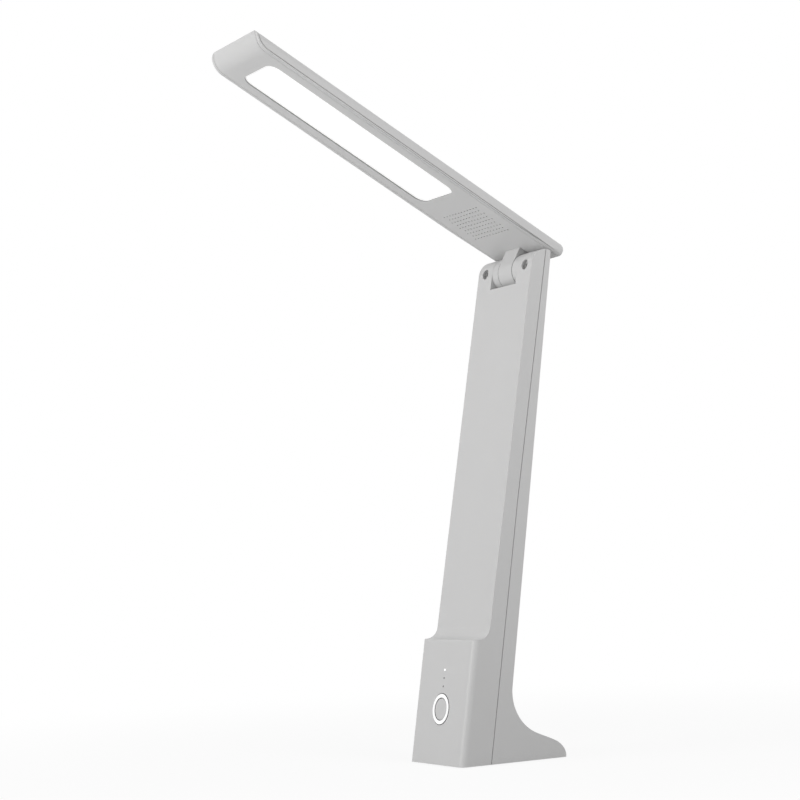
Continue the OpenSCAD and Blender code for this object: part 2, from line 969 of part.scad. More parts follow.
module top_cover() {
    color(shell_grey)
        place()
            in_slab()
                difference() {
                    intersection() {
                        head_blank();
                        union() {
                            across(head_w - 2 * reveal_depth) polygon(head_side(lip_t, reveal_depth, 0));
                            across(head_w + 2) polygon(head_side(lip_t + reveal, 0, 0));
                        }
                    }
                    difference() {
                        across(2 * pocket_half_w)
                            intersection() {
                                polygon(head_side(lip_t, side_wall, 0));
                                translate([0, -head_t]) square([head_len, head_t - roof]);
                            }
                        at_flange_screws() rod_z(flange_boss_r, -flange_top, 0);
                    }
                    at_flange_screws()
                        rod_z(flange_screw_r + screw_gap, -flange_top - cut_past, -flange_screw_tip);
                }
}

neck_half_w = knuckle_w / 2;
opening_gap = 0.15;

module vent_holes() {
    for (row = [0 : vent_rows - 1]) {
        count = vent_columns - row % 2;
        for (i = [0 : count - 1])
            translate([
                (i - (count - 1) / 2) * vent_column_pitch,
                vent_start + row * vent_row_pitch,
                -head_t - cut_past
            ])
                cylinder(d = vent_d, h = plate_t + 2 * cut_past, $fn = 8);
    }
}

module window_outline(grow) {
    polygon(rounded(
        rectangle(
            [-window_w / 2 - grow, window_w / 2 + grow],
            [window_start - grow, window_start + window_len + grow]
        ),
        [for (i = [0 : 3]) window_r + grow]
    ));
}

border_w = 0.35;
border_depth = 0.3;

module lower_cover() {
    color(shell_grey)
        place()
            in_slab()
                difference() {
                    union() {
                        difference() {
                            head_blank();
                            across(head_w + 2) polygon(head_side(lip_t, -cut_past, 0));
                        }
                        difference() {
                            across(2 * (pocket_half_w - seat_gap))
                                intersection() {
                                    polygon(head_side(lip_t / 2, side_wall + seat_gap, 0));
                                    translate([0, -head_t]) square([head_len, head_t - roof - seat_gap]);
                                }
                            across(head_w) polygon(head_side(plate_t, 0, 0));
                        }
                    }
                    translate([0, 0, -head_t - cut_past])
                        linear_extrude(plate_t + 2 * cut_past) window_outline(0);
                    box(
                        [-neck_half_w - opening_gap, neck_half_w + opening_gap],
                        [head_reach - knuckle_r - opening_gap, head_reach + neck_back + opening_gap],
                        [-head_t - cut_past, -head_t + plate_t + cut_past]
                    );
                    vent_holes();
                    both_sides()
                        translate([head_w / 2 - border_in, 0, 0])
                            across(border_w)
                                difference() {
                                    polygon(head_side(-cut_past, border_in, 0));
                                    polygon(head_side(border_depth, -cut_past, 0));
                                }
                }
}

panel_edge = 1.7;
panel_edge_t = 1.2;
panel_gap = 0.1;

module diffuser() {
    color(lit_white)
        place()
            in_slab() {
                translate([0, 0, plate_t - head_t])
                    linear_extrude(panel_edge_t) window_outline(panel_edge);
                translate([0, 0, window_recess - head_t])
                    linear_extrude(plate_t - window_recess + panel_edge_t) window_outline(-panel_gap);
            }
}

chip_columns = 2;
chip_rows = 14;
chip_w = 2.8;
chip_pitch = window_len / chip_rows;
chip_x = window_w / 4;

module at_chips() {
    for (side = [-1, 1], i = [0 : chip_rows - 1])
        translate([side * chip_x, window_start + chip_pitch * (i + 0.5), 0]) children();
}

module led_board() {
    color("white")
        place()
            in_slab()
                box(
                    [-window_w / 2, window_w / 2],
                    [window_start - lamp_board_front, window_start + window_len + lamp_board_back],
                    [-roof - lamp_board_t, -roof]
                );
}

module reflector_sheet() {
    color(lit_white)
        place()
            in_slab()
                difference() {
                    box(
                        [-window_w / 2, window_w / 2],
                        [window_start - lamp_board_front, window_start + window_len - sheet_back],
                        [-roof - lamp_board_t - sheet_t, -roof - lamp_board_t]
                    );
                    at_chips()
                        box(
                            [-chip_w / 2 - seat_gap, chip_w / 2 + seat_gap],
                            [-chip_w / 2 - seat_gap, chip_w / 2 + seat_gap],
                            [-roof - lamp_board_t - sheet_t - cut_past, -roof]
                        );
                }
}

module led_chips() {
    color("lightyellow")
        place()
            in_slab()
                at_chips()
                    box(
                        [-chip_w / 2, chip_w / 2],
                        [-chip_w / 2, chip_w / 2],
                        [-roof - lamp_board_t - chip_t, -roof - lamp_board_t]
                    );
}

driver_gap = 8;
driver_half_w = 20;
driver_to_flange = 4;
driver_start = window_start + window_len + driver_gap;
driver_end = head_reach - flange_front - driver_to_flange;

module driver_board() {
    color(board_green)
        place()
            in_slab()
                box([-driver_half_w, driver_half_w], [driver_start, driver_end], [-roof - lamp_board_t, -roof]);
}

washer_r = 5;
washer_t = 0.8;
washer_proud = 0.1;

module knuckle_arm() {
    color(shell_grey)
        place()
            in_head()
                difference() {
                    union() {
                        rod_x(knuckle_r, -neck_half_w, neck_half_w);
                        box(
                            [-neck_half_w, neck_half_w],
                            [-knuckle_r, neck_back],
                            [0, neck_h + head_t - flange_top]
                        );
                        box(
                            [-flange_half_w, flange_half_w],
                            [-flange_front, neck_back],
                            [neck_h + head_t - flange_top - flange_t, neck_h + head_t - flange_top]
                        );
                    }
                    rod_x(pin_r + run_gap, -knuckle_w, knuckle_w);
                    both_sides() rod_x(washer_r + screw_gap, neck_half_w - washer_t + washer_proud, knuckle_w);
                    for (x = [-flange_screw_x, flange_screw_x], y = flange_screws_at)
                        translate([x, y, 0]) rod_z(flange_screw_r + screw_gap, neck_h, neck_h + head_t);
                }
}

module friction_washers() {
    color(steel_grey)
        place()
            in_head()
                both_sides()
                    difference() {
                        rod_x(washer_r, neck_half_w - washer_t + washer_proud, neck_half_w + washer_proud);
                        rod_x(pin_r + run_gap, 0, knuckle_w);
                    }
}

module knuckle_screws() {
    color(steel_grey)
        place()
            in_slab()
                at_flange_screws() {
                    rod_z(flange_head_r, -flange_top - flange_t - flange_head_t, -flange_top - flange_t);
                    rod_z(flange_screw_r, -flange_top - flange_t - flange_head_t, -flange_screw_tip - screw_gap);
                }
}

head_lead_r = 0.6;
head_lead_x = 6;
head_lead_lap = 4;

module head_leads() {
    color(wire_red)
        place()
            in_slab()
                for (x = [-head_lead_x, head_lead_x])
                    translate([x, 0, -roof - lamp_board_t - head_lead_r - screw_gap]) {
                        rod_y(head_lead_r, window_start + window_len, driver_start + head_lead_lap);
                        rod_y(head_lead_r, driver_end - head_lead_lap, head_reach - flange_front - screw_gap);
                    }
}

front_housing();
rear_housing();
base_plate();
base_pad();
base_screws();
ballast_plate();
battery_cell();
control_board();
board_screws();
switch_body();
board_lamps();
light_ring();
indicator_pipes();
charge_board();
charge_socket();
hinge_pin();
hinge_nut();
hinge_screws();
stem_leads();
top_cover();
lower_cover();
diffuser();
reflector_sheet();
led_board();
led_chips();
driver_board();
knuckle_arm();
knuckle_screws();
friction_washers();
head_leads();
button_cap();
switch_plunger();
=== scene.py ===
# Folding desk lamp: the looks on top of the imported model.
# Metres throughout. The lamp stands on the floor at the origin and its front looks to -y.
import json
import math

import bmesh
import bpy
from mathutils import Matrix, Vector
from mathutils.bvhtree import BVHTree


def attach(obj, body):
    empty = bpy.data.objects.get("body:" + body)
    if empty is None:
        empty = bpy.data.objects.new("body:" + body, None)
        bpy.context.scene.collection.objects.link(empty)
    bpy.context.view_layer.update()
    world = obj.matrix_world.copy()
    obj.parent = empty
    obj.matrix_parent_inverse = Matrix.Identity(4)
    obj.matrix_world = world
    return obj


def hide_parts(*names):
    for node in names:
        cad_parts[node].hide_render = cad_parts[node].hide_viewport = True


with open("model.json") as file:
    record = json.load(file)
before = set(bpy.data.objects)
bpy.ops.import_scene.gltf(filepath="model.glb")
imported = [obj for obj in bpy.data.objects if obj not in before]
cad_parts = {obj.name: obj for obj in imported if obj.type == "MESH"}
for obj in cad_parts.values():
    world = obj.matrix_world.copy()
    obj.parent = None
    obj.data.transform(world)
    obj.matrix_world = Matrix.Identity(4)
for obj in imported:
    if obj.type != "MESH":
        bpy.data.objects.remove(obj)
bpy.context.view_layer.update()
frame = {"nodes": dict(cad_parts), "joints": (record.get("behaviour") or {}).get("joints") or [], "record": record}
nodes = frame["nodes"]
record = frame["record"]
scene = bpy.context.scene
joints = {joint["name"]: joint for joint in frame["joints"]}
bodyOf = {name: body for body, names in record["behaviour"]["bodies"].items() for name in names}
slotOf = {part["node"]: part["material_slot"] for part in record["subparts"]}
mm = 0.001

# Leaning frames of the lamp, as the model has them
lamp = {
    "footFront": (0, -37.5 * mm, 0.6 * mm),
    "blockLean": 10.1,
    "columnLean": 11.0,
    "headRaise": 29.7,
    "headReach": 228.9 * mm,
    "headHeight": 18.8 * mm,
}


def leaning(at, lean):
    return Matrix.Translation(at) @ Matrix.Rotation(math.radians(-lean), 4, "X")


hingeAt = joints["head_tilt"]["pos_m"]
inBlock = leaning(lamp["footFront"], lamp["blockLean"])
inSlab = leaning(hingeAt, lamp["headRaise"]) @ Matrix.Translation((0, -lamp["headReach"], lamp["headHeight"]))
print("frame loaded:", len(nodes), "nodes")

# Camera, as solved from the photo
view = {
    "at": (1.05256, -0.65933, 0.12629),
    "right": (0.49756, 0.86624, -0.04544),
    "up": (0.08656, 0.00254, 0.99624),
    "back": (0.8631, -0.49962, -0.07372),
    "lens": 92.43,
    "sensor": 36,
    "near": 0.05,
}


def makeCamera():
    data = bpy.data.cameras.new("camera")
    data.lens = view["lens"]
    data.sensor_width = view["sensor"]
    data.sensor_fit = "HORIZONTAL"
    data.clip_start = view["near"]
    camera = bpy.data.objects.new("camera", data)
    turn = Matrix((view["right"], view["up"], view["back"])).transposed().to_4x4()
    camera.matrix_world = Matrix.Translation(view["at"]) @ turn
    scene.collection.objects.link(camera)
    scene.camera = camera


makeCamera()
scene.view_settings.view_transform = "Standard"


# Shader maths: an expression on wires adds its Math nodes
class Wire:
    def __init__(self, paint, socket):
        self.paint = paint
        self.socket = socket

    def math(self, operation, *values):
        return self.paint.add("ShaderNodeMath", {"operation": operation}, dict(enumerate(values)))

    def __add__(self, other):
        return self.math("ADD", self, other)

    def __radd__(self, other):
        return self.math("ADD", other, self)

    def __sub__(self, other):
        return self.math("SUBTRACT", self, other)

    def __rsub__(self, other):
        return self.math("SUBTRACT", other, self)

    def __mul__(self, other):
        return self.math("MULTIPLY", self, other)

    def __rmul__(self, other):
        return self.math("MULTIPLY", other, self)

    def __gt__(self, other):
        return self.math("GREATER_THAN", self, other)

    def __lt__(self, other):
        return self.math("LESS_THAN", self, other)

    def absolute(self):
        return self.math("ABSOLUTE", self)

    def root(self):
        return self.math("SQRT", self)

    def orMore(self, other):
        return self.math("MAXIMUM", self, other)

    def wrapped(self, length):
        return self.math("WRAP", self, length, 0.0)


class Paint:
    def __init__(self, owner):
        owner.use_nodes = True
        self.owner = owner
        self.tree = owner.node_tree
        self.shader = self.tree.nodes.get("Principled BSDF")

    def add(self, kind, settings=None, inputs=None, output=0):
        node = self.tree.nodes.new(kind)
        for name, value in (settings or {}).items():
            setattr(node, name, value)
        for key, value in (inputs or {}).items():
            self.plug(node.inputs[key], value)
        return Wire(self, node.outputs[output])

    def plug(self, socket, value):
        if isinstance(value, Wire):
            self.tree.links.new(value.socket, socket)
        else:
            socket.default_value = value

    def finish(self, **sockets):
        for name, value in sockets.items():
            self.plug(self.shader.inputs[name.replace("_", " ")], value)
        return self.owner

    def place(self):
        return self.add("ShaderNodeTexCoord", output="Object")

    def axis(self, at, name):
        return self.add("ShaderNodeSeparateXYZ", inputs={"Vector": at}, output=name)

    # Coordinates in a frame that stands at a point and leans back
    def leaned(self, lean, at=lamp["footFront"]):
        turned = self.add("ShaderNodeMapping", {"vector_type": "TEXTURE"}, {
            "Vector": self.place(), "Location": at, "Rotation": (math.radians(-lean), 0, 0)})
        return [self.axis(turned, name) for name in "XYZ"]

    def noise(self, at, scale, detail, roughness=0.5):
        return self.add("ShaderNodeTexNoise", inputs={
            "Vector": at, "Scale": scale, "Detail": detail, "Roughness": roughness})

    # A Mix node takes its colours in sockets 6 and 7 and gives them in its output 2
    def blend(self, share, first, second):
        first, second = (colour if isinstance(colour, Wire) else (*colour, 1) for colour in (first, second))
        return self.add("ShaderNodeMix", {"data_type": "RGBA"}, {0: share, 6: first, 7: second}, 2)

    # Runs smoothly from low at start to high at end
    def ease(self, value, start, end, low=0.0, high=1.0):
        return self.add("ShaderNodeMapRange", {"interpolation_type": "SMOOTHSTEP"}, {
            "Value": value, "From Min": start, "From Max": end, "To Min": low, "To Max": high})

    # A base value with noises round it
    def spread(self, base, *parts):
        for noise, width in parts:
            base = base + (noise - 0.5) * width
        return base

    def bump(self, height, depth, strength):
        return self.add("ShaderNodeBump", inputs={"Height": height, "Distance": depth, "Strength": strength})


def newPaint(name):
    return Paint(bpy.data.materials.new(name))


# Grey, leaning towards red where warm
def grey(value, warm=0.0):
    return (value * (1 + warm), value, value * (1 - warm))


# Noises are given as scale, detail and perhaps roughness, bumps as depth and strength.
# Moulded shell: light grey satin plastic with a fine eroded grain
shell = {
    "colour": 0.60,
    "mottle": 0.012,
    "warmth": (0.004, 0.001),
    "grain": (2600, 3, 0.6),
    "flow": (38, 4, 0.55),
    "pores": (2600 / 6, 2),
    "poreShare": 0.35,
    "bump": (0.006 * mm, 0.6),
    "roughness": 0.46,
    "flowRoughness": 0.10,
    "grainRoughness": 0.06,
    "specular": 0.42,
}


# A shade gives the share of a darker colour, painted shade, and that colour
def shellPlastic(name, shade=None):
    paint = newPaint(name)
    at = paint.place()
    grain, flow, pores = (paint.noise(at, *shell[kind]) for kind in ("grain", "flow", "pores"))
    low, high = shell["colour"] - shell["mottle"], shell["colour"] + shell["mottle"]
    tint = paint.blend(flow, grey(low, shell["warmth"][0]), grey(high, shell["warmth"][1]))
    if shade:
        mask, dark = shade(paint)
        tint = paint.blend(mask, tint, dark)
    return paint.finish(
        Base_Color=tint,
        Roughness=paint.spread(
            shell["roughness"], (flow, shell["flowRoughness"]), (grain, shell["grainRoughness"])),
        Normal=paint.bump(grain + pores * shell["poreShare"], *shell["bump"]),
        Specular_IOR_Level=shell["specular"],
    )


# Painted shade inside the window's rim and the vent's holes, in the head's frame
holes = {
    "underside": -7.68 * mm,
    "half": 25 * mm,
    "start": 19 * mm,
    "ventStart": 170 * mm,
    "rimShade": 0.3,
    "ventAndLipShade": 0.12,
}
# A painted shade line along the lip's lower edge, which rises towards the rear
lip = {
    "half": 30.28 * mm,
    "under": -7.55 * mm,
    "risesAt": 181 * mm,
    "radius": 0.68,
    "fade": (40 * mm, 120 * mm),
    "share": (0.1, 0.55),
}


# Paints shade into the window's rim, the vent holes and along the lip, darkest in the vents and on the lip
def shadeHead(paint):
    across, along, up = paint.leaned(lamp["headRaise"], inSlab.translation)
    inside = (up > holes["underside"]) * (across.absolute() < holes["half"]) * (along > holes["start"])
    past = (along - lip["risesAt"]).orMore(0.0)
    edge = past * past * (0.5 / lip["radius"]) + lip["under"]
    onLip = (across.absolute() > lip["half"]) * (up < edge)
    share = paint.ease(along, *lip["fade"], *lip["share"])
    darker = onLip.orMore(along > holes["ventStart"])
    dark = paint.blend(darker, grey(holes["rimShade"]), grey(holes["ventAndLipShade"]))
    return inside + onLip * share, dark


# Painted shade in the grooves beside the knuckle's barrel, near its ends
grooves = {
    "radius": 10.75 * mm,
    "from": 7.45 * mm,
    "colour": 0.16,
}


# Paints shade on the barrel near its ends
def shadeKnuckle(paint):
    across, depth, up = paint.leaned(lamp["columnLean"], hingeAt)
    onBarrel = depth * depth + up * up < grooves["radius"] ** 2
    return onBarrel * (across.absolute() > grooves["from"]), grey(grooves["colour"])


# Lit opal panel: even, a little weaker along its edges
panel = {
    "colour": 0.55,
    "mottle": 0.01,
    "glow": 0.56,
    "glowMiddle": (1.0, 1.0, 0.995),
    "glowEdge": (0.95, 0.95, 0.945),
    "halfWidth": 19.8 * mm,
    "edge": 3 * mm,
    "cloud": (60, 3),
    "haze": (3200, 2),
    "bump": (0.004 * mm, 0.4),
    "roughness": 0.38,
    "cloudRoughness": 0.06,
}


def opalPanel(name):
    paint = newPaint(name)
    at = paint.place()
    across = paint.axis(at, "X").absolute()
    edge = paint.ease(across, panel["halfWidth"] - panel["edge"], panel["halfWidth"])
    cloud, haze = (paint.noise(at, *panel[kind]) for kind in ("cloud", "haze"))
    low, high = panel["colour"] - panel["mottle"], panel["colour"] + panel["mottle"]
    return paint.finish(
        Base_Color=paint.blend(cloud, grey(low), grey(high)),
        Emission_Color=paint.blend(edge, panel["glowMiddle"], panel["glowEdge"]),
        Emission_Strength=panel["glow"],
        Roughness=panel["roughness"] + cloud * panel["cloudRoughness"],
        Normal=paint.bump(haze, *panel["bump"]),
    )


# Indicators: the top one lit, the others dark in their middle
dots = {
    "litFrom": 53 * mm,
    "lowest": 45.9 * mm,
    "pitch": 4.9 * mm,
    "core": 0.5 * mm,
    "colour": 0.6,
    "coreColour": 0.012,
    "glow": 1.2,
    "cloud": (900, 2),
    "roughness": 0.2,
    "cloudRoughness": 0.08,
}


def dotPipes(name):
    paint = newPaint(name)
    cloud = paint.noise(paint.place(), *dots["cloud"])
    across, depth, up = paint.leaned(lamp["blockLean"])
    lit = up > dots["litFrom"]
    half = dots["pitch"] / 2
    off = (up - (dots["lowest"] - half)).wrapped(dots["pitch"]) - half
    away = (across * across + off * off).root()
    plain = paint.blend(away > dots["core"], grey(dots["coreColour"]), grey(dots["colour"]))
    return paint.finish(
        Base_Color=paint.blend(lit, plain, grey(dots["colour"])),
        Emission_Color=paint.blend(lit, grey(0.0), grey(1.0)),
        Emission_Strength=dots["glow"],
        Roughness=dots["roughness"] + cloud * dots["cloudRoughness"],
    )


# Plated steel, cloudy and finely scratched, and its duller screws
steel = {
    "colour": 0.58,
    "roughness": 0.3,
    "screwColour": 0.4,
    "screwRoughness": 0.42,
    "shades": (0.94, 1.05),
    "warmth": (0.01, -0.005),
    "cloud": (220, 4),
    "scratch": (1900, 3, 0.7),
    "cloudRoughness": 0.16,
    "scratchRoughness": 0.1,
    "bump": (0.01 * mm, 0.5),
}


def platedSteel(name, colour, roughness):
    paint = newPaint(name)
    at = paint.place()
    cloud, scratch = (paint.noise(at, *steel[kind]) for kind in ("cloud", "scratch"))
    dull, bright = (grey(colour * shade, warm) for shade, warm in zip(steel["shades"], steel["warmth"]))
    return paint.finish(
        Base_Color=paint.blend(cloud, dull, bright),
        Metallic=1.0,
        Roughness=paint.spread(
            roughness, (cloud, steel["cloudRoughness"]), (scratch, steel["scratchRoughness"])),
        Normal=paint.bump(scratch, *steel["bump"]),
    )


# Rubber pad: dark and dull, with fine specks
rubber = {
    "colours": (grey(0.055, 0.02), grey(0.075, 0.01)),
    "speck": (2400, 3, 0.65),
    "cloud": (90, 3),
    "bump": (0.03 * mm, 0.7),
    "roughness": 0.78,
    "cloudRoughness": 0.14,
    "specular": 0.3,
}


def softRubber(name):
    paint = newPaint(name)
    at = paint.place()
    speck, cloud = (paint.noise(at, *rubber[kind]) for kind in ("speck", "cloud"))
    return paint.finish(
        Base_Color=paint.blend(cloud, *rubber["colours"]),
        Roughness=paint.spread(rubber["roughness"], (cloud, rubber["cloudRoughness"])),
        Normal=paint.bump(speck, *rubber["bump"]),
        Specular_IOR_Level=rubber["specular"],
    )


# Circuit board: lacquer over traces, with bare pads
board = {
    "lacquer": (0.02, 0.11, 0.045),
    "copper": (0.62, 0.5, 0.28),
    "traceShade": 1.6,
    "weave": (1500, 2),
    "traceScale": 95,
    "traceBend": 2.5,
    "traceFrom": 0.72,
    "padScale": 260,
    "padScatter": 0.25,
    "padSize": 0.2,
    "padMetal": 0.9,
    "roughness": 0.34,
    "padRoughness": 0.1,
    "weaveRoughness": 0.1,
    "traceHeight": 0.6,
    "weaveHeight": 0.2,
    "bump": (0.03 * mm, 0.8),
}


def circuitBoard(name):
    paint = newPaint(name)
    at = paint.place()
    weave = paint.noise(at, *board["weave"])
    traces = paint.add("ShaderNodeTexWave", {"bands_direction": "X"}, {
        "Vector": at, "Scale": board["traceScale"], "Distortion": board["traceBend"],
        "Detail": 0}) > board["traceFrom"]
    pads = paint.add("ShaderNodeTexVoronoi", {"feature": "F1", "distance": "CHEBYCHEV"}, {
        "Vector": at, "Scale": board["padScale"], "Randomness": board["padScatter"]}) < board["padSize"]
    trace = tuple(part * board["traceShade"] for part in board["lacquer"])
    roughness = board["roughness"] + pads * board["padRoughness"]
    return paint.finish(
        Base_Color=paint.blend(pads, paint.blend(traces, board["lacquer"], trace), board["copper"]),
        Metallic=pads * board["padMetal"],
        Roughness=paint.spread(roughness, (weave, board["weaveRoughness"])),
        Normal=paint.bump(
            traces * board["traceHeight"] + pads + weave * board["weaveHeight"], *board["bump"]),
    )


# White sheet with faint fibres
film = {
    "colours": (grey(0.84), grey(0.88)),
    "fibre": (700, 4, 0.6),
    "roughness": 0.6,
    "fibreRoughness": 0.15,
    "bump": (0.02 * mm, 0.5),
}


def filmSheet(name):
    paint = newPaint(name)
    fibre = paint.noise(paint.place(), *film["fibre"])
    return paint.finish(
        Base_Color=paint.blend(fibre, *film["colours"]),
        Roughness=paint.spread(film["roughness"], (fibre, film["fibreRoughness"])),
        Normal=paint.bump(fibre, *film["bump"]),
    )


# Lit chips under their yellow filling
chip = {
    "colours": ((0.86, 0.66, 0.16), (0.93, 0.78, 0.28)),
    "glows": ((1.0, 0.93, 0.72), (1.0, 0.97, 0.85)),
    "glow": 0.6,
    "grain": (2600, 3),
    "roughness": 0.3,
    "grainRoughness": 0.1,
}


def lampChip(name):
    paint = newPaint(name)
    grain = paint.noise(paint.place(), *chip["grain"])
    return paint.finish(
        Base_Color=paint.blend(grain, *chip["colours"]),
        Emission_Color=paint.blend(grain, *chip["glows"]),
        Emission_Strength=chip["glow"],
        Roughness=chip["roughness"] + grain * chip["grainRoughness"],
    )


# Cell: shrunk sleeve with bare metal ends
cell = {
    "sleeve": (0.03, 0.27, 0.19),
    "bare": grey(0.55),
    "bareBelow": 87.6 * mm,
    "bareAbove": 150.6 * mm,
    "shrink": (160, 3),
    "fine": (1200, 2),
    "bump": (0.12 * mm, 0.4),
    "roughness": 0.26,
    "fineRoughness": 0.12,
    "coat": 0.4,
}


def cellSleeve(name):
    paint = newPaint(name)
    at = paint.place()
    shrink, fine = (paint.noise(at, *cell[kind]) for kind in ("shrink", "fine"))
    height = paint.axis(at, "Z")
    bare = (height > cell["bareAbove"]) + (height < cell["bareBelow"])
    return paint.finish(
        Base_Color=paint.blend(bare, cell["sleeve"], cell["bare"]),
        Metallic=bare,
        Roughness=paint.spread(cell["roughness"], (fine, cell["fineRoughness"])),
        Normal=paint.bump(shrink, *cell["bump"]),
        Coat_Weight=cell["coat"],
    )


# Black plastic of the push switch
switch = {
    "colours": (grey(0.02), grey(0.035)),
    "grain": (2200, 3),
    "roughness": 0.5,
    "grainRoughness": 0.14,
    "bump": (0.01 * mm, 0.5),
}


def switchPlastic(name):
    paint = newPaint(name)
    grain = paint.noise(paint.place(), *switch["grain"])
    return paint.finish(
        Base_Color=paint.blend(grain, *switch["colours"]),
        Roughness=paint.spread(switch["roughness"], (grain, switch["grainRoughness"])),
        Normal=paint.bump(grain, *switch["bump"]),
    )


# Wires: red, and black on the right of a line
leads = {
    "colours": ((0.45, 0.02, 0.015), (0.015, 0.015, 0.015)),
    "blackFrom": 13.6 * mm,
    "fine": (1600, 2),
    "roughness": 0.42,
    "fineRoughness": 0.12,
    "bump": (0.01 * mm, 0.5),
}


def wireSkin(name):
    paint = newPaint(name)
    at = paint.place()
    fine = paint.noise(at, *leads["fine"])
    return paint.finish(
        Base_Color=paint.blend(paint.axis(at, "X") > leads["blackFrom"], *leads["colours"]),
        Roughness=paint.spread(leads["roughness"], (fine, leads["fineRoughness"])),
        Normal=paint.bump(fine, *leads["bump"]),
    )


# Finish of each of the record's slots, and of the nodes that differ from their slot
finishes = {
    "shell": shellPlastic("shell_plastic"),
    "opal": opalPanel("opal_panel"),
    "light_pipe": dotPipes("dot_pipes"),
    "steel": platedSteel("plated_steel", steel["colour"], steel["roughness"]),
    "pad": softRubber("pad_rubber"),
    "board": circuitBoard("circuit_board"),
    "white_sheet": filmSheet("white_sheet"),
    "lamp": lampChip("lamp_chip"),
    "cell": cellSleeve("cell_sleeve"),
    "switch": switchPlastic("switch_plastic"),
    "wire": wireSkin("wire_skin"),
}
# Painted shade on the lower cover and the knuckle; duller steel on the hinge screws
shaded = {
    "lower_cover": shellPlastic("shell_with_painted_hole_shade", shadeHead),
    "knuckle_arm": shellPlastic("shell_with_painted_gap_shade", shadeKnuckle),
    "hinge_screws": platedSteel("screw_steel", steel["screwColour"], steel["screwRoughness"]),
}
for name, node in nodes.items():
    node.data.materials.clear()
    node.data.materials.append(finishes[slotOf[name]])
print("finishes laid on", len(nodes), "nodes")

# Mesh work: what counts as one point, one flat face, on a plane and open, and how edges soften
meshing = {
    "merge": 0.002 * mm,
    "flat": 0.5,
    "near": 0.01 * mm,
    "probe": 0.02 * mm,
    "sharp": 28,
    "segments": 2,
    "normalWeight": 90,
}


# Merged copy of a node's loose triangles, with flat faces made whole
def mergedCopy(name):
    mesh = bmesh.new()
    mesh.from_mesh(nodes[name].data)
    bmesh.ops.remove_doubles(mesh, verts=mesh.verts, dist=meshing["merge"])
    bmesh.ops.dissolve_limit(
        mesh, angle_limit=math.radians(meshing["flat"]), use_dissolve_boundaries=False,
        verts=mesh.verts, edges=mesh.edges, delimit=set())
    mesh.normal_update()
    return mesh


# Faces with nothing of the mesh before them
def openFaces(mesh):
    tree = BVHTree.FromBMesh(mesh)
    seen = set()
    for face in mesh.faces:
        start = face.calc_center_median() + face.normal * meshing["probe"]
        if tree.ray_cast(start, face.normal)[0] is None:
            seen.add(face.index)
    return seen


def bevelEdges(mesh, edges, width, segments, clamp=False):
    bmesh.ops.bevel(
        mesh, geom=edges, offset=width, offset_type="OFFSET", segments=segments, profile=0.5,
        affect="EDGES", clamp_overlap=clamp, material=-1)


# Softens the sharp outer edges and counts them
def softenEdges(mesh, width):
    mesh.faces.index_update()
    seen = openFaces(mesh)
    sharp = math.radians(meshing["sharp"])
    chosen = [
        edge for edge in mesh.edges
        if len(edge.link_faces) == 2 and edge.calc_face_angle_signed(0) >= sharp
        and any(face.index in seen for face in edge.link_faces)]
    bevelEdges(mesh, chosen, width, meshing["segments"], clamp=True)
    return len(chosen)


# Makes a piece from a bmesh: rides on its body, shows its finish, shaded smooth up to an angle
def addPiece(name, mesh, body, finish, stands, smooth):
    data = bpy.data.meshes.new(name)
    mesh.to_mesh(data)
    mesh.free()
    for face in data.polygons:
        face.use_smooth = True
    data.set_sharp_from_angle(angle=math.radians(smooth))
    data.materials.append(finish)
    piece = bpy.data.objects.new(name, data)
    scene.collection.objects.link(piece)
    normals = piece.modifiers.new("normals", "WEIGHTED_NORMAL")
    normals.keep_sharp = True
    normals.weight = meshing["normalWeight"]
    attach(piece, body)
    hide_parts(*stands)


# Blanks that a shell is trimmed to
def makeBlank(name, mesh):
    data = bpy.data.meshes.new(name + "_mesh")
    mesh.to_mesh(data)
    mesh.free()
    return bpy.data.objects.new(name, data)


# The head's rear end is rolled: a long rounded blank, a hair outside the head except at its rear.
# Its edges are given as width and segments.
rolled = {
    "half": 30.63 * mm,
    "front": -6 * mm,
    "back": 236.63 * mm,
    "top": 0.03 * mm,
    "bottom": -7.83 * mm,
    "keptFront": 1 * mm,
    "corner": (4.3 * mm, 14),
    "topEdge": (4.0 * mm, 10),
    "bottomEdge": (3.2 * mm, 8),
}


def rolledBlank():
    mesh = bmesh.new()
    bmesh.ops.create_cube(mesh, size=1)
    length = rolled["back"] - rolled["front"]
    height = rolled["top"] - rolled["bottom"]
    middle = (0, rolled["front"] + length / 2, rolled["bottom"] + height / 2)
    bmesh.ops.scale(mesh, vec=(2 * rolled["half"], length, height), verts=mesh.verts)
    bmesh.ops.translate(mesh, vec=middle, verts=mesh.verts)

    def edgesWhere(test):
        return [edge for edge in mesh.edges if test(*(vertex.co for vertex in edge.verts))]

    backAt = rolled["back"] - meshing["near"]
    topAt = rolled["top"] - meshing["near"]
    lowAt = rolled["bottom"] + meshing["near"]
    pastFront = rolled["front"] + rolled["keptFront"]
    fromCorner = rolled["back"] - rolled["corner"][0] - meshing["near"]
    corners = edgesWhere(lambda a, b: min(a.y, b.y) > backAt and abs(a.z - b.z) > height / 2)
    bevelEdges(mesh, corners, *rolled["corner"])
    rim = edgesWhere(lambda a, b: min(a.z, b.z) > topAt and max(a.y, b.y) > pastFront)
    bevelEdges(mesh, rim, *rolled["topEdge"])
    rear = edgesWhere(lambda a, b: max(a.z, b.z) < lowAt and min(a.y, b.y) > fromCorner)
    bevelEdges(mesh, rear, *rolled["bottomEdge"])
    bmesh.ops.transform(mesh, matrix=inSlab, verts=mesh.verts)
    return makeBlank("rolled_blank", mesh)


